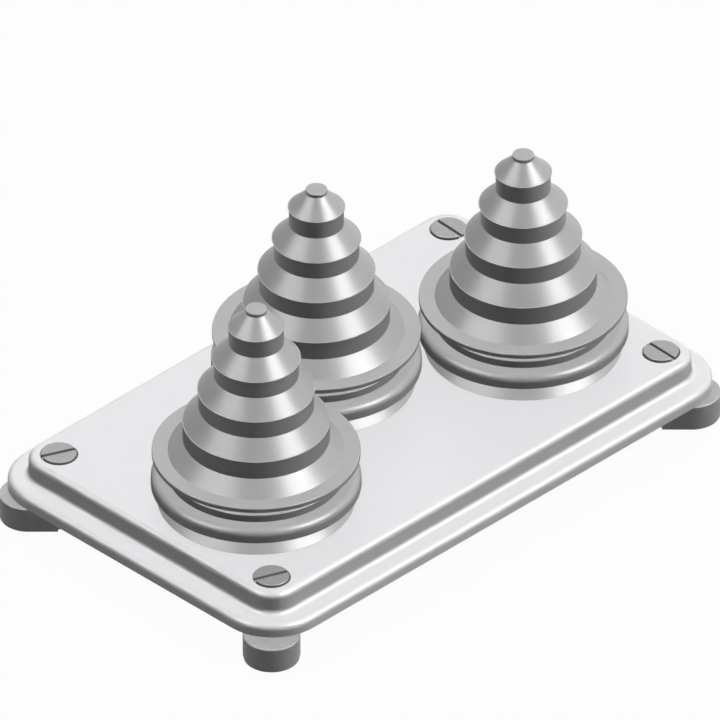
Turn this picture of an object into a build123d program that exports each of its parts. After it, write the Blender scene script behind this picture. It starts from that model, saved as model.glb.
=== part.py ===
from build123d import *
from math import atan2, cos, radians, sin, tan
import os

# Cable entry plate: a moulded cover with three stepped cable grommets, held over a panel opening by four
# clamp dogs that swing out under the panel when their slotted screws are turned.
# Millimetres. X runs along the plate, Y across it and Z up. The origin lies under the middle of the
# plate at the level of the screw tips, on which the plate stands when it lies on a bench.

# Cover plate, outside
plate_corner_radius = 17.4
flange_thickness = 4.2
flange_edge_round = 1.9
ledge_width = 7.0
plateau_rise = 7.4
plateau_corner_radius = 8.8
plateau_edge_round = 2.0
plateau_foot_round = 1.6

# Cover plate, underside
plate_wall = 3.0
rib_thickness = 2.0
rib_height = 4.0
collar_clearance = 1.2
locating_rib_thickness = 2.5
locating_rib_depth = 2.5
opening_clearance = 0.5

# Panel gasket and its groove under the flange
gasket_width = 3.4
gasket_height = 2.4
gasket_inset = 1.8
groove_clearance = 0.1
groove_depth = 1.6

# Slotted screw
thread_radius = 3.0
head_radius = 5.65
head_height = 2.4
head_stand = 0.9
head_round = 0.35
slot_width = 1.2
slot_depth = 1.2
tip_length = 0.9
tip_chamfer = 0.5
head_clearance = 0.25
running_clearance = 0.06

# Sealing ring under the screw head
sealing_ring_thickness = 1.2
sealing_ring_round = 0.3

# Retaining ring near the screw tip
ring_radius = 4.6
ring_band = 1.2
ring_thickness = 0.7
ring_play = 0.1
ring_opening = 3.8
ring_prong_width = 1.6
ring_prong_angle = 115.0
ring_groove_radius = 2.4

# Clamp dog
dog_width = 17.7
dog_reach = 18.3
dog_height = 8.5
dog_hub_radius = 5.5
dog_wall = 2.2
dog_roof = 3.0
dog_band_height = 1.3
dog_band_inset = 0.25
dog_edge_round = 0.4
dog_clearance = 0.3
swing_clearance = 1.0

# How the dogs clamp: gap under the flange as drawn, and travel along the thread
clamp_gap = 2.9
dog_travel_up = 1.7
dog_travel_down = 1.0
dog_end_margin = 0.15
dog_side_margin = 0.5
dog_swing = 135.0
stop_overlap = 4.8

# How the grommets stand on the plateau: one behind, between two in front
disc_overlap_along = 7.2
row_nesting = 0.8
end_margin = 3.0
front_margin = 10.0
back_margin = 4.0

# Stepped grommet, from the plate upwards; heights are above the top of the plate
grommet_wall = 2.0
neck_radius = 26.5
lip_reach = 3.7
lip_edge = 0.3
bead_disc_reach = 5.9
bead_disc_bottom = 5.8
bead_disc_thickness = 3.8
bead_disc_round = 1.7
waist_reach = 0.4
waist_height = 2.6
upper_neck_inset = 0.5
upper_neck_height = 4.4
top_disc_reach = 5.4
top_disc_thickness = 1.5
first_cone_reach = 0.5
first_cone_rise = 4.7
first_step_radius = 22.5
tip_radius = 3.6
step_count = 4
step_wall_height = 5.7
step_lip = 0.3
step_lip_height = 0.55
step_cone_rise = 5.48
tip_height = 0.9
tip_round = 0.4

# Stepped grommet, in its hole and under the plate
hole_inset = 0.7
seat_clearance = 0.05
retainer_reach = 2.6
retainer_height = 2.2
lead_in_height = 3.0
lead_in_clearance = 0.5

# Levels: the screws hang below the flange and set how high the plate stands
ring_groove_height = ring_thickness + ring_play
dog_bottom_z = tip_length + ring_groove_height + ring_play + dog_travel_down
dog_top_z = dog_bottom_z + dog_height
mount_z = dog_top_z + clamp_gap
ledge_z = mount_z + flange_thickness
plate_top_z = ledge_z + plateau_rise
ceiling_z = plate_top_z - plate_wall
boss_end_z = dog_top_z + dog_travel_up + dog_clearance
stop_end_z = dog_top_z - stop_overlap

# Radii of the grommet, which follow its neck
lip_radius = neck_radius + lip_reach
bead_disc_radius = neck_radius + bead_disc_reach
waist_radius = neck_radius + waist_reach
upper_neck_radius = neck_radius - upper_neck_inset
top_disc_radius = neck_radius + top_disc_reach
first_cone_radius = neck_radius + first_cone_reach
step_shrink = (first_step_radius - tip_radius) / step_count
hole_radius = neck_radius - hole_inset
retainer_radius = hole_radius + retainer_reach
lead_in_radius = hole_radius - lead_in_clearance

# Plan sizes: the grommets' discs and the margins round them set the size of the plate
grommet_pitch = 2 * bead_disc_radius - disc_overlap_along
row_pitch = bead_disc_radius - row_nesting
plateau_length = 2 * (grommet_pitch + bead_disc_radius + end_margin)
plateau_width = row_pitch + 2 * bead_disc_radius + front_margin + back_margin
plate_length = plateau_length + 2 * ledge_width
plate_width = plateau_width + 2 * ledge_width
outer_row_y = front_margin + bead_disc_radius - plateau_width / 2
middle_row_y = outer_row_y + row_pitch
cavity_length = plateau_length - 2 * plate_wall
cavity_width = plateau_width - 2 * plate_wall
cavity_corner_radius = plateau_corner_radius - plate_wall
screw_x = plateau_length / 2 - dog_width / 2 - dog_end_margin
screw_y = plateau_width / 2 - dog_width / 2 - dog_side_margin
bore_radius = thread_radius + running_clearance
boss_radius = dog_width / 2 - dog_clearance - dog_end_margin
counterbore_radius = head_radius + head_clearance
counterbore_depth = head_height - head_stand + sealing_ring_thickness
collar_radius = retainer_radius + collar_clearance

# Where each grommet stands, and each corner's sides along X and Y with the turn of its screw slot
grommets = {
    "left": (-grommet_pitch, outer_row_y),
    "middle": (0.0, middle_row_y),
    "right": (grommet_pitch, outer_row_y),
}
corners = {
    "front_left": (-1, -1, -22.0),
    "front_right": (1, -1, -92.0),
    "back_right": (1, 1, -93.0),
    "back_left": (-1, 1, -24.0),
}

os.makedirs("parts", exist_ok=True)


def corner_plane(corner, z, turn=None):
    """Level plane on a corner's screw axis, turned to the clamped dog unless a turn is given."""
    side_x, side_y, slot_turn = corners[corner]
    angle = atan2(side_y, side_x) if turn is None else radians(turn)
    return Plane(origin=(side_x * screw_x, side_y * screw_y, z), x_dir=(cos(angle), sin(angle), 0))


def upright_plane(x, y, z=0.0):
    """Upright plane through a vertical axis, for a profile that is turned about it."""
    return Plane(origin=(x, y, z), x_dir=(1, 0, 0), z_dir=(0, -1, 0))


def rounded_frame(inset_outside, inset_inside):
    """Ring that follows the plate's outline between two insets from its edge."""
    for inset, mode in ((inset_outside, Mode.ADD), (inset_inside, Mode.SUBTRACT)):
        RectangleRounded(plate_length - 2 * inset, plate_width - 2 * inset, plate_corner_radius - inset, mode=mode)


def dog_outline():
    """Plan of a dog: square inner end on the screw axis, full-round outer end."""
    straight = dog_reach - dog_width / 2
    with Locations((straight / 2, 0)):
        Rectangle(straight, dog_width)
    with Locations((straight, 0)):
        Circle(dog_width / 2)


# Cover plate
with BuildPart() as cover_plate:
    with BuildSketch(Plane.XY.offset(mount_z)):
        RectangleRounded(plate_length, plate_width, plate_corner_radius)
    extrude(amount=flange_thickness)
    fillet(cover_plate.faces().sort_by(Axis.Z)[-1].edges(), flange_edge_round)

    with BuildSketch(Plane.XY.offset(ledge_z)):
        RectangleRounded(plateau_length, plateau_width, plateau_corner_radius)
    extrude(amount=plateau_rise)
    fillet(cover_plate.faces().sort_by(Axis.Z)[-1].edges(), plateau_edge_round)
    ledge = cover_plate.faces().filter_by(Plane.XY).filter_by(lambda face: face.inner_wires()).sort_by(Axis.Z)[-1]
    fillet(ledge.inner_wires()[0].edges(), plateau_foot_round)

    # Hollow underside
    with BuildSketch(Plane.XY.offset(mount_z)):
        RectangleRounded(cavity_length, cavity_width, cavity_corner_radius)
    extrude(amount=ceiling_z - mount_z, mode=Mode.SUBTRACT)

    # Ribs under the ceiling, with a collar round each grommet's retaining bead
    with BuildSketch(Plane.XY.offset(ceiling_z)):
        with Locations((0, outer_row_y)):
            Rectangle(cavity_length + plate_wall, rib_thickness)
        with Locations(*((x, 0) for x, y in grommets.values())):
            Rectangle(rib_thickness, cavity_width + plate_wall)
        with Locations(*grommets.values()):
            Circle(collar_radius + rib_thickness)
        with Locations(*grommets.values()):
            Circle(collar_radius, mode=Mode.SUBTRACT)
        Rectangle(cavity_length + plate_wall, cavity_width + plate_wall, mode=Mode.INTERSECT)
    extrude(amount=-rib_height)

    # Screw bosses
    with BuildSketch(Plane.XY.offset(ceiling_z)):
        with GridLocations(2 * screw_x, 2 * screw_y, 2, 2):
            Circle(boss_radius)
    extrude(amount=boss_end_z - ceiling_z)

    # Locating ribs, which stop short of the swing of the dogs
    with BuildSketch(Plane.XY.offset(mount_z)):
        rib_line = opening_clearance + locating_rib_thickness / 2
        with GridLocations(0, plateau_width - 2 * rib_line, 1, 2):
            Rectangle(2 * (screw_x - dog_reach - swing_clearance), locating_rib_thickness)
        with GridLocations(plateau_length - 2 * rib_line, 0, 2, 1):
            Rectangle(locating_rib_thickness, 2 * (screw_y - dog_reach - swing_clearance))
    extrude(amount=-locating_rib_depth)

    # Groove for the panel gasket
    with BuildSketch(Plane.XY.offset(mount_z)):
        rounded_frame(gasket_inset - groove_clearance, gasket_inset + gasket_width + groove_clearance)
    extrude(amount=groove_depth, mode=Mode.SUBTRACT)

    # Grommet holes and screw bores
    with Locations(*((x, y, plate_top_z) for x, y in grommets.values())):
        Hole(hole_radius, depth=2 * plate_wall)
    with Locations(Plane.XY.offset(plate_top_z)):
        with GridLocations(2 * screw_x, 2 * screw_y, 2, 2):
            CounterBoreHole(bore_radius, counterbore_radius, counterbore_depth)

    # A stop behind each dog, which fills the turn that the swing leaves free
    for corner in corners:
        half_stop = (180.0 - dog_swing) / 2
        bisector = 270.0 - half_stop
        apex = dog_clearance / sin(radians(half_stop))
        with BuildSketch(corner_plane(corner, boss_end_z)):
            with BuildLine():
                start = PolarLine((0, 0), apex, bisector, mode=Mode.PRIVATE) @ 1
                side = PolarLine(start, 2 * boss_radius, bisector - half_stop)
                other_side = PolarLine(start, 2 * boss_radius, bisector + half_stop)
                Line(side @ 1, other_side @ 1)
            make_face()
            Circle(boss_radius, mode=Mode.INTERSECT)
            Circle(dog_hub_radius + dog_clearance, mode=Mode.SUBTRACT)
        extrude(amount=stop_end_z - boss_end_z)
cover_plate.part.label = "cover_plate"
export_step(cover_plate.part, "parts/cover_plate.step")

# Panel gasket
with BuildPart() as panel_gasket:
    with BuildSketch(Plane.XY.offset(mount_z + groove_depth)):
        rounded_frame(gasket_inset, gasket_inset + gasket_width)
    extrude(amount=-gasket_height)
panel_gasket.part.label = "panel_gasket"
export_step(panel_gasket.part, "parts/panel_gasket.step")


def step_points(wall, drop):
    """Points up the stepped cone, for the skin that lies a wall inside it and is shifted down by drop."""
    lip = step_lip if wall == 0 else 0
    z = bead_disc_bottom + bead_disc_thickness + waist_height + upper_neck_height + top_disc_thickness
    z += first_cone_rise
    for step in range(step_count):
        radius = first_step_radius - step * step_shrink - wall
        yield (radius, z - drop)
        if lip:
            yield (radius, z + step_wall_height)
        yield (radius + lip, z + step_wall_height + step_lip_height - drop)
        z += step_wall_height + step_lip_height + step_cone_rise
    yield (first_step_radius - step_count * step_shrink - wall, z - drop)


# Stepped grommets
for place, (x, y) in grommets.items():
    with BuildPart() as grommet:
        with BuildSketch(upright_plane(x, y, plate_top_z)):
            bead_disc_top = bead_disc_bottom + bead_disc_thickness
            upper_neck_z = bead_disc_top + waist_height
            top_disc_z = upper_neck_z + upper_neck_height
            skin = list(step_points(0, 0))
            inner_drop = grommet_wall * tan(radians(22.5))
            inner_skin = list(step_points(grommet_wall, inner_drop))
            inner_radius = upper_neck_radius - grommet_wall
            retainer_z = -plate_wall - retainer_height
            bottom_z = retainer_z - lead_in_height
            tip_z = skin[-1][1] + tip_height
            with BuildLine():
                Polyline(
                    (inner_radius, bottom_z),
                    (lead_in_radius, bottom_z),
                    (retainer_radius, retainer_z),
                    (retainer_radius, -plate_wall),
                    (hole_radius - seat_clearance, -plate_wall),
                    (hole_radius - seat_clearance, 0),
                    (lip_radius, 0),
                    (lip_radius, lip_edge),
                    (neck_radius, lip_edge + lip_radius - neck_radius),
                    (neck_radius, bead_disc_bottom),
                    (bead_disc_radius, bead_disc_bottom),
                    (bead_disc_radius, bead_disc_top),
                    (waist_radius, bead_disc_top),
                    (waist_radius, upper_neck_z),
                    (upper_neck_radius, upper_neck_z),
                    (upper_neck_radius, top_disc_z),
                    (top_disc_radius, top_disc_z),
                    (top_disc_radius, top_disc_z + top_disc_thickness),
                    (first_cone_radius, top_disc_z + top_disc_thickness),
                    *skin,
                    (skin[-1][0], tip_z),
                    (0, tip_z),
                    (0, inner_skin[-1][1]),
                    *reversed(inner_skin),
                    (inner_radius, top_disc_z + top_disc_thickness - inner_drop),
                    close=True,
                )
            make_face()
        revolve(axis=Axis((x, y, 0), (0, 0, 1)))
        for radius, height, rounding in (
            (bead_disc_radius, bead_disc_top, bead_disc_round),
            (skin[-1][0], tip_z, tip_round),
        ):
            rim_point = (x + radius, y, plate_top_z + height)
            fillet(grommet.edges().sort_by_distance(rim_point)[0], rounding)
    grommet.part.label = f"grommet_{place}"
    export_step(grommet.part, f"parts/grommet_{place}.step")

for corner, (side_x, side_y, slot_turn) in corners.items():
    axis_x = side_x * screw_x
    axis_y = side_y * screw_y

    # Captive slotted screw
    head_top_z = plate_top_z + head_stand
    head_bottom_z = head_top_z - head_height
    with BuildPart() as screw:
        with BuildSketch(upright_plane(axis_x, axis_y)):
            with BuildLine():
                Polyline(
                    (0, 0),
                    (thread_radius - tip_chamfer, 0),
                    (thread_radius, tip_chamfer),
                    (thread_radius, tip_length),
                    (ring_groove_radius, tip_length),
                    (ring_groove_radius, tip_length + ring_groove_height),
                    (thread_radius, tip_length + ring_groove_height),
                    (thread_radius, head_bottom_z),
                    (head_radius, head_bottom_z),
                    (head_radius, head_top_z),
                    (0, head_top_z),
                    close=True,
                )
            make_face()
        revolve(axis=Axis((axis_x, axis_y, 0), (0, 0, 1)))
        fillet(screw.faces().sort_by(Axis.Z)[-1].edges(), head_round)
        with BuildSketch(corner_plane(corner, head_top_z, slot_turn)):
            Rectangle(3 * head_radius, slot_width)
        extrude(amount=-slot_depth, mode=Mode.SUBTRACT)
    screw.part.label = f"screw_{corner}"
    export_step(screw.part, f"parts/screw_{corner}.step")

    # Sealing ring under the head
    with BuildPart() as sealing_ring:
        with BuildSketch(corner_plane(corner, head_bottom_z - sealing_ring_thickness)):
            Circle(head_radius)
            Circle(bore_radius, mode=Mode.SUBTRACT)
        extrude(amount=sealing_ring_thickness)
        fillet(sealing_ring.edges().filter_by(GeomType.CIRCLE).group_by(SortBy.RADIUS)[-1], sealing_ring_round)
    sealing_ring.part.label = f"sealing_ring_{corner}"
    export_step(sealing_ring.part, f"parts/sealing_ring_{corner}.step")

    # Clamp dog, cored from below
    with BuildPart() as clamp_dog:
        with BuildSketch(corner_plane(corner, dog_bottom_z + dog_band_height)):
            dog_outline()
        extrude(amount=dog_height - dog_band_height)
        fillet(clamp_dog.faces().sort_by(Axis.Z)[-1].edges(), dog_edge_round)
        with BuildSketch(corner_plane(corner, dog_bottom_z)):
            dog_outline()
            offset(amount=-dog_band_inset, mode=Mode.REPLACE)
        extrude(amount=dog_band_height)
        with BuildSketch(corner_plane(corner, dog_bottom_z)):
            dog_outline()
            offset(amount=-dog_wall, mode=Mode.REPLACE)
        extrude(amount=dog_height - dog_roof, mode=Mode.SUBTRACT)
        with BuildSketch(corner_plane(corner, dog_bottom_z)):
            Circle(dog_hub_radius)
        extrude(amount=dog_height)
        with Locations(corner_plane(corner, dog_top_z)):
            Hole(bore_radius)
    clamp_dog.part.label = f"clamp_dog_{corner}"
    export_step(clamp_dog.part, f"parts/clamp_dog_{corner}.step")

    # Retaining ring in its groove
    with BuildPart() as retaining_ring:
        with BuildSketch(corner_plane(corner, tip_length)):
            Circle(ring_radius)
            Circle(ring_radius - ring_band, mode=Mode.SUBTRACT)
            prong_length = ring_radius - ring_groove_radius - ring_band / 2
            prong_middle = ring_groove_radius + prong_length / 2
            for angle in (-ring_prong_angle, 0.0, ring_prong_angle):
                with PolarLocations(prong_middle, 1, start_angle=angle):
                    Rectangle(prong_length, ring_prong_width)
            with Locations((-ring_radius, 0)):
                Rectangle(2 * ring_radius, ring_opening, mode=Mode.SUBTRACT)
        extrude(amount=ring_thickness)
    retaining_ring.part.label = f"retaining_ring_{corner}"
    export_step(retaining_ring.part, f"parts/retaining_ring_{corner}.step")
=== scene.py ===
import math

import bmesh
import bpy
from mathutils import Matrix, Vector


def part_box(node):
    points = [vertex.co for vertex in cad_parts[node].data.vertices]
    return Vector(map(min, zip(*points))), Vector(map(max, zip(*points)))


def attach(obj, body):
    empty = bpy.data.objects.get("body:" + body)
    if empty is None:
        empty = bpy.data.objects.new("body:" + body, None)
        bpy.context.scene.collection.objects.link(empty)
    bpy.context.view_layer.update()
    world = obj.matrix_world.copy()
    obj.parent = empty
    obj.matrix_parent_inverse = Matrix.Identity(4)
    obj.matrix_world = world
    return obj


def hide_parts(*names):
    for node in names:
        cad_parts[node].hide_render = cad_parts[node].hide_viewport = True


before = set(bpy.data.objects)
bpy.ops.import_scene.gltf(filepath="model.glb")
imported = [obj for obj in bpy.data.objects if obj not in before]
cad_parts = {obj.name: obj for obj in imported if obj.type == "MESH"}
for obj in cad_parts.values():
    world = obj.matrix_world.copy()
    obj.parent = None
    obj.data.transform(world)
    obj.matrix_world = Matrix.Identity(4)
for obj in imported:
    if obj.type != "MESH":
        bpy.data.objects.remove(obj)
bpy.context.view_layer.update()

# Cable entry plate, dressed for the camera: stepped rubber grommets, slotted screws and clamp dogs on a
# moulded cover. Metres, in the frame of the solids; sizes are written in millimetres.
mm = 0.001

# Levels and places that the solids give
plate_top = 25.8 * mm
places = ("left", "middle", "right")

# Corners: sides along X and Y, and the turn of the screw's slot in degrees
corners = {
    "front_left": (-1, -1, -22.0),
    "front_right": (1, -1, -92.0),
    "back_right": (1, 1, -93.0),
    "back_left": (-1, 1, -24.0),
}

# Stepped grommet: heights above the top of the plate, which are minus below it
grommet_wall = 2.0 * mm
grommet_bottom = -8.2 * mm
lead_in_radius = 25.3 * mm
retainer_radius = 28.4 * mm
retainer_bottom = -5.2 * mm
retainer_top = -3.0 * mm
hole_radius = 25.75 * mm
lip_radius = 30.3 * mm
lip_edge = 0.08 * mm
lip_rise = 3.6 * mm
neck_radius = 26.5 * mm
bead_disc_radius = 32.2 * mm
bead_disc_bottom = 5.45 * mm
bead_disc_top = 10.0 * mm
bead_disc_round = 2.3 * mm
waist_radius = 27.3 * mm
waist_top = 12.5 * mm
upper_neck_radius = 26.0 * mm
top_disc_bottom = 16.6 * mm
top_disc_radius = 31.9 * mm
top_disc_top = 18.1 * mm
first_cone_radius = 27.0 * mm
first_step_bottom = 22.8 * mm
# Each step: radius of its wall, and how far the lip at its top stands out
steps = ((22.5 * mm, 0.2 * mm), (17.65 * mm, 0.5 * mm), (13.05 * mm, 0.75 * mm), (8.45 * mm, 0.45 * mm))
step_wall_height = 5.7 * mm
step_lip_height = 0.5 * mm
step_ledge = 0.38 * mm
step_cone_rise = 5.53 * mm
closed_end = 70.62 * mm
tip_radius = 3.35 * mm
tip_height = 1.2 * mm
rim_round = 0.25 * mm
step_rim_round = 0.2 * mm
tip_round = 0.22 * mm
inner_skin_drop = grommet_wall * math.tan(math.radians(22.5))
turning_steps = 144
bead_segments = 7
rim_segments = 4

# Slotted screw, from the bench upwards
shank_radius = 3.0 * mm
tip_chamfer = 0.5 * mm
ring_groove_radius = 2.4 * mm
ring_groove_bottom = 0.9 * mm
ring_groove_top = 1.7 * mm
thread_start = 2.2 * mm
thread_end = 17.5 * mm
thread_pitch = 1.0 * mm
thread_core = 2.5 * mm
thread_crest = 2.97 * mm
thread_sink = 0.08 * mm
thread_root_width = 0.84 * mm
thread_crest_share = 0.16
thread_end_share = 0.8
thread_steps = 48
shank_shoulder = 0.5 * mm
head_radius = 5.42 * mm
head_bottom = 24.3 * mm
head_top = 26.5 * mm
head_round = 0.15 * mm
head_under_round = 0.15 * mm
slot_width = 1.2 * mm
slot_depth = 1.2 * mm
slot_floor_round = 0.12 * mm
slot_edge_round = 0.08 * mm

# Clamp dog
dog_bottom = 2.8 * mm
dog_top = 11.3 * mm
dog_width = 17.7 * mm
dog_reach = 18.3 * mm
dog_band_height = 1.3 * mm
dog_band_inset = 0.25 * mm
dog_wall = 2.2 * mm
dog_roof = 3.0 * mm
dog_edge_round = 0.4 * mm
dog_foot_round = 0.15 * mm
dog_core_round = 0.4 * mm
dog_nose_segments = 24
dog_hub_radius = 5.5 * mm
dog_hub_inset = 0.03 * mm
dog_hub_round = 0.25 * mm
dog_bore_radius = 3.06 * mm

# Points closer than this are merged, and values closer than this count as the same
fine_merge = 0.002 * mm
coarse_merge = 0.01 * mm
same_place = 0.02 * mm
same_corner = 1e-7

# Angle in radians from which an edge counts as sharp
sharp_edge = 0.5


def deselect_all():
    """Nothing stays selected, neither a solid of the frame nor an earlier piece."""
    bpy.ops.object.select_all(action="DESELECT")


def make_active(piece):
    """The piece alone is selected and active."""
    deselect_all()
    piece.select_set(True)
    bpy.context.view_layer.objects.active = piece


def name_new(name):
    """Names the primitive just added and puts its place into its mesh."""
    piece = bpy.context.object
    piece.name = name
    piece.data.name = name
    bpy.ops.object.transform_apply(location=True, rotation=True, scale=True)
    return piece


def remove(piece):
    """Deletes a cutter or a pattern that has done its work."""
    make_active(piece)
    bpy.ops.object.delete()


def choose(piece, kind, wanted):
    """In edit mode, selects the vertices, edges or faces that a test picks, and nothing else."""
    bpy.ops.mesh.select_mode(type=kind)
    bpy.ops.mesh.select_all(action="DESELECT")
    mesh = bmesh.from_edit_mesh(piece.data)
    for element in {"VERT": mesh.verts, "EDGE": mesh.edges, "FACE": mesh.faces}[kind]:
        element.select_set(bool(wanted(element)))
    mesh.select_flush_mode()
    bmesh.update_edit_mesh(piece.data)


def near(value, wanted, slack=same_place):
    return abs(value - wanted) < slack


def spread(point, axis):
    """Distance of a point from an upright axis."""
    return math.hypot(point.x - axis.x, point.y - axis.y)


def round_rim(piece, axis, radius, height, rounding, segments=4):
    """Rounds the edge loop that lies at a radius and a height of a turned piece."""
    choose(
        piece,
        "EDGE",
        lambda edge: all(near(spread(v.co, axis), radius) and near(v.co.z, height) for v in edge.verts),
    )
    bpy.ops.mesh.bevel(offset=rounding, segments=segments, affect="EDGES", clamp_overlap=True)


def soften_edges(piece, height, rounding, segments=2):
    """Rounds the sharp edges that lie level at a height, and leaves the joints within a flat face alone."""
    choose(
        piece,
        "EDGE",
        lambda edge: all(near(v.co.z, height) for v in edge.verts) and edge.calc_face_angle(0) > sharp_edge,
    )
    bpy.ops.mesh.bevel(offset=rounding, segments=segments, affect="EDGES", clamp_overlap=True)


def combine(piece, other, operation):
    """Joins another shape to the piece or cuts it out, and deletes the other shape."""
    make_active(piece)
    step = piece.modifiers.new("combine", "BOOLEAN")
    step.operation = operation
    step.solver = "EXACT"
    step.object = other
    bpy.ops.object.modifier_apply(modifier=step.name)
    remove(other)


def smooth(piece, angle=32.0):
    """Smooth shading up to an angle, with flat faces kept flat up to their roundings."""
    make_active(piece)
    bpy.ops.object.shade_smooth_by_angle(angle=math.radians(angle))
    even = piece.modifiers.new("even_shading", "WEIGHTED_NORMAL")
    even.keep_sharp = True
    bpy.ops.object.modifier_apply(modifier=even.name)


def flat_piece(name, middle, length, width, tilt=0.0):
    """A flat rectangle, level or tilted about its length."""
    deselect_all()
    bpy.ops.mesh.primitive_plane_add(size=mm, location=middle, rotation=(tilt, 0, 0))
    bpy.context.object.scale = (length / mm, width / mm, 1)
    return name_new(name)


def copy_of(piece, name, move):
    """Another piece of the same shape with a mesh of its own, moved or turned by a matrix."""
    twin = piece.copy()
    twin.data = piece.data.copy()
    twin.name = name
    twin.data.name = name
    twin.data.transform(move)
    bpy.context.scene.collection.objects.link(twin)
    return twin


def turned_piece(name, axis, outline):
    """Turns an outline of radii and heights about an upright axis, as on a lathe."""
    deselect_all()
    first_radius, first_height = outline[0]
    bpy.ops.mesh.primitive_plane_add(size=mm, location=(axis.x + first_radius, axis.y, first_height))
    piece = name_new(name)
    bpy.ops.object.mode_set(mode="EDIT")
    bpy.ops.mesh.select_mode(type="VERT")
    bpy.ops.mesh.select_all(action="SELECT")
    bpy.ops.mesh.merge(type="CENTER")
    for (radius, height), (next_radius, next_height) in zip(outline, outline[1:]):
        step = (next_radius - radius, 0, next_height - height)
        bpy.ops.mesh.extrude_vertices_move(TRANSFORM_OT_translate={"value": step})
    bpy.ops.mesh.select_all(action="SELECT")
    if outline[0][0] > 0:
        ends = {outline[0], outline[-1]}
        choose(
            piece,
            "VERT",
            lambda v: any(
                near(v.co.x - axis.x, r, same_corner) and near(v.co.z, h, same_corner) for r, h in ends
            ),
        )
        bpy.ops.mesh.edge_face_add()
        bpy.ops.mesh.select_all(action="SELECT")
    bpy.ops.mesh.spin(
        steps=turning_steps,
        angle=2 * math.pi,
        center=(axis.x, axis.y, 0),
        axis=(0, 0, 1),
        use_auto_merge=True,
    )
    bpy.ops.mesh.select_all(action="SELECT")
    bpy.ops.mesh.remove_doubles(threshold=fine_merge)
    bpy.ops.mesh.normals_make_consistent(inside=False)
    bpy.ops.object.mode_set(mode="OBJECT")
    return piece


def cone_outline(wall, drop):
    """Steps and cones up to the tip, for the skin a wall inside the shape and a little lower."""
    height = first_step_bottom
    for step_radius, lip in steps:
        radius = step_radius - wall
        yield radius, height - drop
        if wall == 0:
            yield radius, height + step_wall_height
            yield radius + lip, height + step_wall_height + step_lip_height
            yield radius + lip - step_ledge, height + step_wall_height + step_lip_height
        else:
            yield radius, height + step_wall_height + step_lip_height - drop
        height += step_wall_height + step_lip_height + step_cone_rise
    yield tip_radius - wall, closed_end - tip_height - drop


def grommet_outline(base):
    """Outline of a grommet from its closed tip down the outside, round its foot and up the inside."""
    outside = list(cone_outline(0, 0))
    inside = list(cone_outline(grommet_wall, inner_skin_drop))
    inner_radius = upper_neck_radius - grommet_wall
    points = [
        (0, closed_end),
        (tip_radius, closed_end),
        *reversed(outside),
        (first_cone_radius, top_disc_top),
        (top_disc_radius, top_disc_top),
        (top_disc_radius, top_disc_bottom),
        (upper_neck_radius, top_disc_bottom),
        (upper_neck_radius, waist_top),
        (waist_radius, waist_top),
        (waist_radius, bead_disc_top),
        (bead_disc_radius, bead_disc_top),
        (bead_disc_radius, bead_disc_bottom),
        (neck_radius, bead_disc_bottom),
        (neck_radius, lip_edge + lip_rise),
        (lip_radius, lip_edge),
        (lip_radius, 0),
        (hole_radius, 0),
        (hole_radius, retainer_top),
        (retainer_radius, retainer_top),
        (retainer_radius, retainer_bottom),
        (lead_in_radius, grommet_bottom),
        (inner_radius, grommet_bottom),
        (inner_radius, top_disc_top - inner_skin_drop),
        *inside,
        (0, inside[-1][1]),
    ]
    return [(radius, base + height) for radius, height in points]


def build_grommet(name, axis):
    """One stepped grommet with rounded rims, hollow and closed at the tip."""
    grommet = turned_piece(name, axis, grommet_outline(plate_top))
    make_active(grommet)
    bpy.ops.object.mode_set(mode="EDIT")
    rims = [(bead_disc_radius, bead_disc_top, bead_disc_round, bead_segments)]
    rim_height = first_step_bottom + step_wall_height + step_lip_height
    for step_radius, lip in steps:
        rims.append((step_radius + lip, rim_height, step_rim_round, rim_segments))
        rim_height += step_wall_height + step_lip_height + step_cone_rise
    rims.append((tip_radius, closed_end, tip_round, rim_segments))
    for radius, height in (
        (top_disc_radius, top_disc_top),
        (top_disc_radius, top_disc_bottom),
        (waist_radius, waist_top),
        (bead_disc_radius, bead_disc_bottom),
        (retainer_radius, retainer_bottom),
    ):
        rims.append((radius, height, rim_round, rim_segments))
    for radius, height, rounding, segments in rims:
        round_rim(grommet, axis, radius, plate_top + height, rounding, segments)
    bpy.ops.object.mode_set(mode="OBJECT")
    smooth(grommet)
    return grommet


def build_thread():
    """A helical ridge round the upright axis of the origin, with a run-out at each end."""
    root = thread_core - thread_sink
    middle = (root + thread_crest) / 2
    place = (middle, 0, thread_start)
    thread = flat_piece("thread", place, thread_crest - root, thread_root_width, math.pi / 2)
    bpy.ops.object.mode_set(mode="EDIT")
    bpy.ops.mesh.delete(type="ONLY_FACE")
    choose(thread, "VERT", lambda v: v.co.x > middle)
    bpy.ops.transform.resize(
        value=(1, 1, thread_crest_share), center_override=(thread_crest, 0, thread_start)
    )
    bpy.ops.object.mode_set(mode="OBJECT")
    make_active(thread)
    turns = thread.modifiers.new("turns", "SCREW")
    turns.axis = "Z"
    turns.steps = turns.render_steps = thread_steps
    turns.screw_offset = thread_pitch
    turns.iterations = round((thread_end - thread_start) / thread_pitch)
    bpy.ops.object.modifier_apply(modifier=turns.name)
    bpy.ops.object.mode_set(mode="EDIT")
    choose(thread, "EDGE", lambda edge: edge.is_boundary)
    bpy.ops.transform.resize(value=(thread_end_share, thread_end_share, 1), center_override=(0, 0, 0))
    bpy.ops.mesh.fill_holes(sides=0)
    bpy.ops.mesh.select_all(action="SELECT")
    bpy.ops.mesh.normals_make_consistent(inside=False)
    bpy.ops.object.mode_set(mode="OBJECT")
    return thread


def on_slot_edge(edge):
    """Whether an edge runs along the slot's mouth, level with the top of the screw's head."""
    first, second = edge.verts
    at_mouth = all(
        near(abs(v.co.y), slot_width / 2) and v.co.z > head_top - coarse_merge for v in (first, second)
    )
    return at_mouth and abs(first.co.x - second.co.x) > coarse_merge


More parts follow.
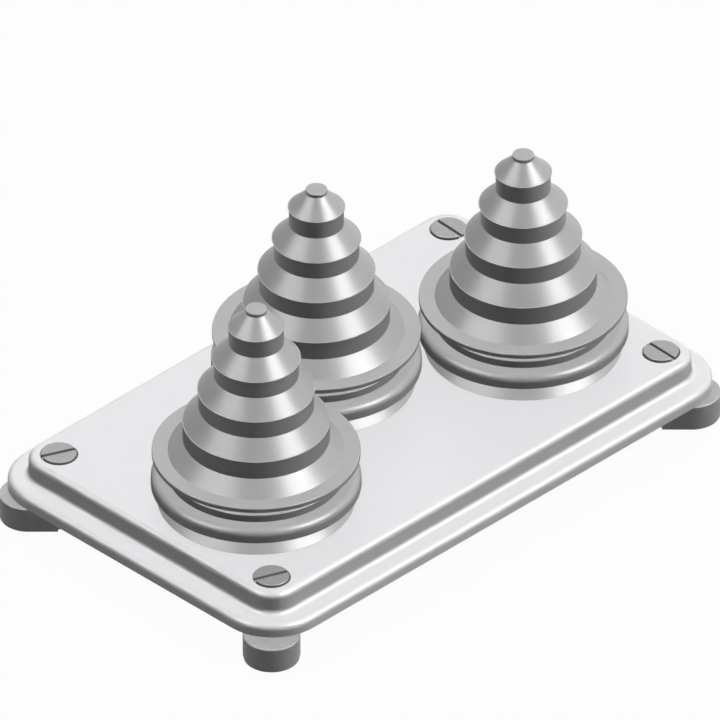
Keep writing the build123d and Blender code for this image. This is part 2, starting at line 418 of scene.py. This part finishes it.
def build_screw(name):
    """A slotted screw on the origin's upright axis, with a thread, a ring groove and a chamfered tip."""
    axis = Vector((0, 0, 0))
    screw = turned_piece(
        name,
        axis,
        [
            (0, head_top),
            (head_radius, head_top),
            (head_radius, head_bottom),
            (shank_radius, head_bottom),
            (shank_radius, thread_end + shank_shoulder),
            (thread_core, thread_end),
            (thread_core, ring_groove_top),
            (ring_groove_radius, ring_groove_top),
            (ring_groove_radius, ring_groove_bottom),
            (shank_radius, ring_groove_bottom),
            (shank_radius, tip_chamfer),
            (shank_radius - tip_chamfer, 0),
            (0, 0),
        ],
    )
    make_active(screw)
    bpy.ops.object.mode_set(mode="EDIT")
    for height in (head_top, 0):
        choose(screw, "FACE", lambda face: all(near(v.co.z, height) for v in face.verts))
        bpy.ops.mesh.dissolve_faces()
    round_rim(screw, axis, head_radius, head_top, head_round, 5)
    round_rim(screw, axis, head_radius, head_bottom, head_under_round, 2)
    bpy.ops.object.mode_set(mode="OBJECT")

    # The slot, with a small radius along its floor
    deselect_all()
    bpy.ops.mesh.primitive_cube_add(
        size=1, location=(0, 0, head_top), scale=(3 * head_radius, slot_width, 2 * slot_depth)
    )
    slot = name_new("slot_cutter")
    bpy.ops.object.mode_set(mode="EDIT")
    choose(slot, "EDGE", lambda edge: all(near(v.co.z, head_top - slot_depth) for v in edge.verts))
    bpy.ops.mesh.bevel(offset=slot_floor_round, segments=3, affect="EDGES")
    bpy.ops.object.mode_set(mode="OBJECT")
    combine(screw, slot, "DIFFERENCE")
    make_active(screw)
    bpy.ops.object.mode_set(mode="EDIT")
    choose(screw, "EDGE", on_slot_edge)
    bpy.ops.mesh.bevel(offset=slot_edge_round, segments=2, affect="EDGES", clamp_overlap=True)
    bpy.ops.object.mode_set(mode="OBJECT")

    thread = build_thread()
    deselect_all()
    thread.select_set(True)
    screw.select_set(True)
    bpy.context.view_layer.objects.active = screw
    bpy.ops.object.join()
    smooth(screw)
    return screw


def build_dog(name):
    """A clamp dog, cored from below, that reaches along +X from a screw on the origin's upright axis."""
    dog = flat_piece(name, (dog_reach / 2, 0, dog_bottom + dog_band_height), dog_reach, dog_width)
    bpy.ops.object.mode_set(mode="EDIT")
    choose(dog, "VERT", lambda v: near(v.co.x, dog_reach))
    bpy.ops.mesh.bevel(
        offset=dog_width / 2 - 0.001 * mm, segments=dog_nose_segments, affect="VERTICES", clamp_overlap=False
    )
    bpy.ops.mesh.select_all(action="SELECT")
    bpy.ops.mesh.remove_doubles(threshold=coarse_merge)
    rise = dog_top - dog_bottom - dog_band_height
    bpy.ops.mesh.extrude_region_move(TRANSFORM_OT_translate={"value": (0, 0, rise)})
    bpy.ops.mesh.select_all(action="SELECT")
    bpy.ops.mesh.normals_make_consistent(inside=False)
    choose(dog, "FACE", lambda face: face.normal.z < -0.9)
    bpy.ops.mesh.inset(thickness=dog_band_inset)
    bpy.ops.mesh.extrude_region_move(TRANSFORM_OT_translate={"value": (0, 0, -dog_band_height)})
    bpy.ops.mesh.inset(thickness=dog_wall - dog_band_inset)
    core_depth = dog_top - dog_bottom - dog_roof
    bpy.ops.mesh.extrude_region_move(TRANSFORM_OT_translate={"value": (0, 0, core_depth)})
    soften_edges(dog, dog_top, dog_edge_round, 4)
    soften_edges(dog, dog_bottom, dog_foot_round)
    soften_edges(dog, dog_top - dog_roof, dog_core_round, 3)
    bpy.ops.object.mode_set(mode="OBJECT")

    # Hub round the screw, and its bore; the hub's ends stand a hair inside the dog's faces
    hub_top = dog_top - dog_hub_inset
    hub_bottom = dog_bottom + dog_hub_inset
    hub_middle = (0, 0, (hub_top + hub_bottom) / 2)
    deselect_all()
    bpy.ops.mesh.primitive_cylinder_add(
        vertices=72, radius=dog_hub_radius, depth=hub_top - hub_bottom, location=hub_middle
    )
    hub = name_new("dog_hub")
    bpy.ops.object.mode_set(mode="EDIT")
    for height in (hub_top, hub_bottom):
        soften_edges(hub, height, dog_hub_round, 3)
    bpy.ops.object.mode_set(mode="OBJECT")
    combine(dog, hub, "UNION")
    deselect_all()
    bpy.ops.mesh.primitive_cylinder_add(
        vertices=64, radius=dog_bore_radius, depth=2 * dog_top, location=(0, 0, dog_bottom)
    )
    bore = name_new("dog_bore")
    combine(dog, bore, "DIFFERENCE")
    smooth(dog)
    return dog


def axis_of(node):
    """Upright axis through the middle of a node of the frame."""
    low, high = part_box(node)
    return Vector(((low.x + high.x) / 2, (low.y + high.y) / 2, 0))


# Finishes. Colours are linear; grain and bump sizes are real ones on the piece.
cover_colour = (0.822, 0.812, 0.832)
rubber_colour = (0.466, 0.457, 0.467)
steel_colour = (0.368, 0.362, 0.373)
casting_colour = (0.440, 0.433, 0.442)
seal_colour = (0.030, 0.030, 0.032)
spring_colour = (0.20, 0.20, 0.21)


def link(tree, source, output, target, socket):
    tree.links.new(source.outputs[output], target.inputs[socket])


def new_finish(name, colour, metallic=0.0):
    """A material with its shader set to a colour, and the coordinates that its patterns are laid out on."""
    finish = bpy.data.materials.new(name)
    finish.use_nodes = True
    tree = finish.node_tree
    shader = tree.nodes["Principled BSDF"]
    shader.inputs["Base Color"].default_value = (*colour, 1)
    shader.inputs["Metallic"].default_value = metallic
    spot = tree.nodes.new("ShaderNodeTexCoord")
    return finish, tree, shader, spot


def mottle(tree, spot, grain, detail=3.0):
    """Noise whose blotches have a real size across the piece."""
    noise = tree.nodes.new("ShaderNodeTexNoise")
    noise.inputs["Scale"].default_value = 1 / grain
    noise.inputs["Detail"].default_value = detail
    link(tree, spot, "Object", noise, "Vector")
    return noise


def tint(tree, shader, source, colour, change):
    """Lets a pattern make the colour a little lighter and darker."""
    ramp = tree.nodes.new("ShaderNodeValToRGB")
    dark, light = ramp.color_ramp.elements
    dark.position, light.position = 0.3, 0.7
    dark.color = (*(c * (1 - change) for c in colour), 1)
    light.color = (*(min(1.0, c * (1 + change)) for c in colour), 1)
    link(tree, source, "Fac", ramp, "Fac")
    link(tree, ramp, "Color", shader, "Base Color")
    return ramp


def vary_roughness(tree, shader, source, low, high):
    """Lets a pattern make the surface more and less dull between two values."""
    spread_out = tree.nodes.new("ShaderNodeMapRange")
    spread_out.inputs["From Min"].default_value = 0.3
    spread_out.inputs["From Max"].default_value = 0.7
    spread_out.inputs["To Min"].default_value = low
    spread_out.inputs["To Max"].default_value = high
    link(tree, source, "Fac", spread_out, "Value")
    link(tree, spread_out, "Result", shader, "Roughness")


def relief(tree, shader, source, depth, strength, under=None):
    """Raises a pattern out of the surface by a real depth, over another relief if one is given."""
    bump = tree.nodes.new("ShaderNodeBump")
    bump.inputs["Strength"].default_value = strength
    bump.inputs["Distance"].default_value = depth
    link(tree, source, "Fac", bump, "Height")
    if under:
        link(tree, under, "Normal", bump, "Normal")
    link(tree, bump, "Normal", shader, "Normal")
    return bump


def turning_rings(tree, spot, axis, pitch, kind):
    """Fine lines that a lathe leaves: rings round an upright axis, or bands up a wall."""
    centre = tree.nodes.new("ShaderNodeMapping")
    centre.inputs["Location"].default_value = (-axis.x, -axis.y, 0)
    wave = tree.nodes.new("ShaderNodeTexWave")
    wave.wave_type = kind
    if kind == "RINGS":
        wave.rings_direction = "Z"
    else:
        wave.bands_direction = "Z"
    wave.inputs["Scale"].default_value = math.pi / (10 * pitch)
    wave.inputs["Distortion"].default_value = 1.2
    wave.inputs["Detail"].default_value = 2.0
    link(tree, spot, "Object", centre, "Vector")
    link(tree, centre, "Vector", wave, "Vector")
    return wave


def cover_finish():
    """Pale moulded plastic with a spark-eroded grain."""
    finish, tree, shader, spot = new_finish("moulded_cover", cover_colour)
    shader.inputs["Specular IOR Level"].default_value = 0.35
    tint(tree, shader, mottle(tree, spot, 5 * mm, 5.0), cover_colour, change=0.006)
    vary_roughness(tree, shader, mottle(tree, spot, 2 * mm), low=0.28, high=0.34)
    flow = relief(tree, shader, mottle(tree, spot, 14 * mm, 1.0), depth=0.03 * mm, strength=0.25)
    relief(tree, shader, mottle(tree, spot, 0.45 * mm, 2.0), depth=0.008 * mm, strength=0.45, under=flow)
    return finish


def rubber_finish(place, axis):
    """Grey satin elastomer from a turned mould, whose rings run round the piece."""
    finish, tree, shader, spot = new_finish(f"grommet_rubber_{place}", rubber_colour)
    shader.inputs["Specular IOR Level"].default_value = 0.25
    tint(tree, shader, mottle(tree, spot, 1.2 * mm, 4.0), rubber_colour, change=0.012)
    vary_roughness(tree, shader, mottle(tree, spot, 1.5 * mm), low=0.30, high=0.36)
    under = None
    for kind in ("RINGS", "BANDS"):
        lines = turning_rings(tree, spot, axis, 0.5 * mm, kind)
        under = relief(tree, shader, lines, depth=0.004 * mm, strength=0.4, under=under)
    relief(tree, shader, mottle(tree, spot, 0.4 * mm, 2.0), depth=0.006 * mm, strength=0.4, under=under)
    return finish


def steel_finish(corner, axis):
    """Zinc-plated steel with the rings of its turned head."""
    finish, tree, shader, spot = new_finish(f"zinc_steel_{corner}", steel_colour, metallic=0.2)
    tint(tree, shader, mottle(tree, spot, 1.4 * mm, 4.0), steel_colour, change=0.04)
    vary_roughness(tree, shader, mottle(tree, spot, 1.2 * mm), low=0.36, high=0.46)
    lines = turning_rings(tree, spot, axis, 0.35 * mm, "RINGS")
    rings = relief(tree, shader, lines, depth=0.008 * mm, strength=0.5)
    relief(tree, shader, mottle(tree, spot, 0.3 * mm, 2.0), depth=0.006 * mm, strength=0.5, under=rings)
    return finish


def casting_finish():
    """Grey coat over a zinc die casting."""
    finish, tree, shader, spot = new_finish("coated_casting", casting_colour)
    tint(tree, shader, mottle(tree, spot, 2.5 * mm, 5.0), casting_colour, change=0.06)
    vary_roughness(tree, shader, mottle(tree, spot, 1.5 * mm), low=0.42, high=0.56)
    skin = relief(tree, shader, mottle(tree, spot, 1.6 * mm, 2.0), depth=0.03 * mm, strength=0.5)
    relief(tree, shader, mottle(tree, spot, 0.35 * mm, 2.0), depth=0.010 * mm, strength=0.6, under=skin)
    return finish


def seal_finish():
    """Near-black sealing rubber."""
    finish, tree, shader, spot = new_finish("seal_rubber_black", seal_colour)
    tint(tree, shader, mottle(tree, spot, 4 * mm, 4.0), seal_colour, change=0.15)
    vary_roughness(tree, shader, mottle(tree, spot, 1.5 * mm), low=0.55, high=0.70)
    relief(tree, shader, mottle(tree, spot, 0.4 * mm, 2.0), depth=0.015 * mm, strength=0.6)
    return finish


def spring_finish():
    """Dark phosphated spring steel."""
    finish, tree, shader, spot = new_finish("phosphated_spring", spring_colour, metallic=1.0)
    tint(tree, shader, mottle(tree, spot, 0.8 * mm, 4.0), spring_colour, change=0.2)
    vary_roughness(tree, shader, mottle(tree, spot, 0.6 * mm), low=0.40, high=0.60)
    relief(tree, shader, mottle(tree, spot, 0.25 * mm, 2.0), depth=0.008 * mm, strength=0.6)
    return finish


def dress(piece, finish):
    """The whole piece gets one finish."""
    if piece.material_slots:
        for material_slot in piece.material_slots:
            material_slot.material = finish
    else:
        piece.data.materials.append(finish)


# Grommets: one is modelled, and the others are copies of it
middle_axis = axis_of("grommet_middle")
middle_grommet = build_grommet("stepped_grommet_middle", middle_axis)
for place in places:
    axis = axis_of(f"grommet_{place}")
    grommet = middle_grommet
    if place != "middle":
        move = Matrix.Translation(axis - middle_axis)
        grommet = copy_of(middle_grommet, f"stepped_grommet_{place}", move)
    dress(grommet, rubber_finish(place, axis))
    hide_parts(f"grommet_{place}")
    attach(grommet, "plate")

# Solids that stay as they are
dress(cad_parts["cover_plate"], cover_finish())
seal = seal_finish()
dress(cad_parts["panel_gasket"], seal)
casting = casting_finish()
spring = spring_finish()
for corner in corners:
    dress(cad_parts[f"sealing_ring_{corner}"], seal)
    dress(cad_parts[f"retaining_ring_{corner}"], spring)

# Screws and clamp dogs: each is modelled once on the origin's axis and copied to the corners
screw_pattern = build_screw("screw_pattern")
dog_pattern = build_dog("dog_pattern")
for corner, (side_x, side_y, slot_turn) in corners.items():
    axis = axis_of(f"screw_{corner}")
    place_here = Matrix.Translation(axis)
    turn_slot = Matrix.Rotation(math.radians(slot_turn), 4, "Z")
    screw = copy_of(screw_pattern, f"slotted_screw_{corner}", place_here @ turn_slot)
    dress(screw, steel_finish(corner, axis))
    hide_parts(f"screw_{corner}")
    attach(screw, f"screw_{corner}")
    turn_outward = Matrix.Rotation(math.atan2(side_y, side_x), 4, "Z")
    dog = copy_of(dog_pattern, f"cast_dog_{corner}", place_here @ turn_outward)
    dress(dog, casting)
    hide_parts(f"clamp_dog_{corner}")
    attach(dog, f"dog_{corner}")
remove(screw_pattern)
remove(dog_pattern)

# Camera: a true isometric view from the front left
view_azimuth = math.radians(-45)
view_elevation = math.asin(1 / math.sqrt(3))
view_width = 0.2196
look_at = Vector((0, 0, 41.9 * mm))
view_distance = 1.0
back = Vector(
    (
        math.sin(view_azimuth) * math.cos(view_elevation),
        -math.cos(view_azimuth) * math.cos(view_elevation),
        math.sin(view_elevation),
    )
)
camera_data = bpy.data.cameras.new("camera")
camera_data.type = "ORTHO"
camera_data.ortho_scale = view_width
camera = bpy.data.objects.new("camera", camera_data)
camera.location = look_at + back * view_distance
camera.rotation_euler = back.to_track_quat("Z", "Y").to_euler()
bpy.context.scene.collection.objects.link(camera)
bpy.context.scene.camera = camera


def soft_sun(name, towards, share, softness, seen_as="light", shadow=True):
    """A distant soft lamp. Its share is how much of white's full tone it gives a surface that faces it."""
    lamp_data = bpy.data.lights.new(name, "SUN")
    lamp_data.energy = math.pi * share
    lamp_data.angle = math.radians(softness)
    lamp_data.use_shadow = shadow
    # A lamp without shadows is sampled directly only. It lightens the tops of the bead discs, and takes
    # away a faint darkening of the floor round the object
    lamp_data.cycles.use_multiple_importance_sampling = shadow
    lamp_data.cycles.max_bounces = 0
    lamp = bpy.data.objects.new(name, lamp_data)
    lamp.visible_diffuse = seen_as == "light"
    lamp.visible_glossy = seen_as == "highlight"
    lamp.rotation_euler = Vector(towards).to_track_quat("Z", "Y").to_euler()
    bpy.context.scene.collection.objects.link(lamp)


# Lamps: the key from the right, a weak fill from the left, two overhead, one from below and four low ones
# round the object; softness is their width in degrees
lamp_softness = 20
soft_sun("key_lamp", (0.361, -0.361, 0.86), 0.64, lamp_softness, shadow=False)
soft_sun("fill_lamp", (-0.248, 0.248, 0.937), 0.04, lamp_softness, shadow=False)
soft_sun("overhead_lamp", (0, 0, 1), 0.03, softness=60)
soft_sun("overhead_fill", (0, 0, 1), 0.31, lamp_softness, shadow=False)
soft_sun("floor_return", (0, 0, -1), 0.06, lamp_softness, shadow=False)
for side, towards, share in (
    ("front", (-1, -1, 0), 0.040),
    ("right", (1, -1, 0), 0.068),
    ("back", (1, 1, 0), 0.06),
    ("left", (-1, 1, 0), 0.076),
):
    soft_sun(f"low_lamp_{side}", towards, share, lamp_softness, shadow=False)

# Two more are seen only as highlights, on the cones' right and left flanks
soft_sun("key_highlight", (0.294, -0.648, 0.703), 3.9, softness=36, seen_as="highlight", shadow=False)
soft_sun("fill_highlight", (-0.651, 0.248, 0.717), 2.4, softness=46, seen_as="highlight", shadow=False)

ambient_level = 0.03
floor_bounce = (0.07, 0.07, 0.07)
floor_white = (0.98, 0.98, 0.98)
shadow_lift = 0.7


def seen_directly(tree):
    """One for what the camera sees, also by reflection and through glass, and nothing for diffuse light."""
    path = tree.nodes.new("ShaderNodeLightPath")
    first = tree.nodes.new("ShaderNodeMath")
    first.operation = "MAXIMUM"
    link(tree, path, "Is Camera Ray", first, 0)
    link(tree, path, "Is Glossy Ray", first, 1)
    second = tree.nodes.new("ShaderNodeMath")
    second.operation = "MAXIMUM"
    link(tree, first, "Value", second, 0)
    link(tree, path, "Is Transmission Ray", second, 1)
    return second


def build_world():
    """White to the eye, and a low even light on the object."""
    world = bpy.data.worlds.new("studio")
    bpy.context.scene.world = world
    world.use_nodes = True
    tree = world.node_tree
    background = tree.nodes["Background"]
    shade = tree.nodes.new("ShaderNodeMix")
    shade.data_type = "RGBA"
    shade.inputs["A"].default_value = (ambient_level, ambient_level, ambient_level, 1)
    shade.inputs["B"].default_value = (1, 1, 1, 1)
    link(tree, seen_directly(tree), "Value", shade, "Factor")
    link(tree, shade, "Result", background, "Color")


def build_floor():
    """Pale floor. It shows a shadow at 1 - shadow_lift of its depth, and only overhead_lamp casts one."""
    deselect_all()
    bpy.ops.mesh.primitive_plane_add(size=6.0, location=(0, 0, 0))
    floor = name_new("studio_floor")
    material = bpy.data.materials.new("studio_floor")
    material.use_nodes = True
    tree = material.node_tree
    tree.nodes.remove(tree.nodes["Principled BSDF"])
    output = tree.nodes["Material Output"]
    bounce = tree.nodes.new("ShaderNodeBsdfDiffuse")
    bounce.inputs["Color"].default_value = (*floor_bounce, 1)
    white = tree.nodes.new("ShaderNodeBsdfDiffuse")
    white.inputs["Color"].default_value = (*floor_white, 1)
    glow = tree.nodes.new("ShaderNodeEmission")
    lifted = tree.nodes.new("ShaderNodeMixShader")
    lifted.inputs["Fac"].default_value = shadow_lift
    seen = tree.nodes.new("ShaderNodeMixShader")
    tree.links.new(white.outputs[0], lifted.inputs[1])
    tree.links.new(glow.outputs[0], lifted.inputs[2])
    tree.links.new(seen_directly(tree).outputs[0], seen.inputs[0])
    tree.links.new(bounce.outputs[0], seen.inputs[1])
    tree.links.new(lifted.outputs[0], seen.inputs[2])
    tree.links.new(seen.outputs[0], output.inputs["Surface"])
    dress(floor, material)


build_world()
build_floor()
bpy.context.scene.view_settings.view_transform = "Standard"
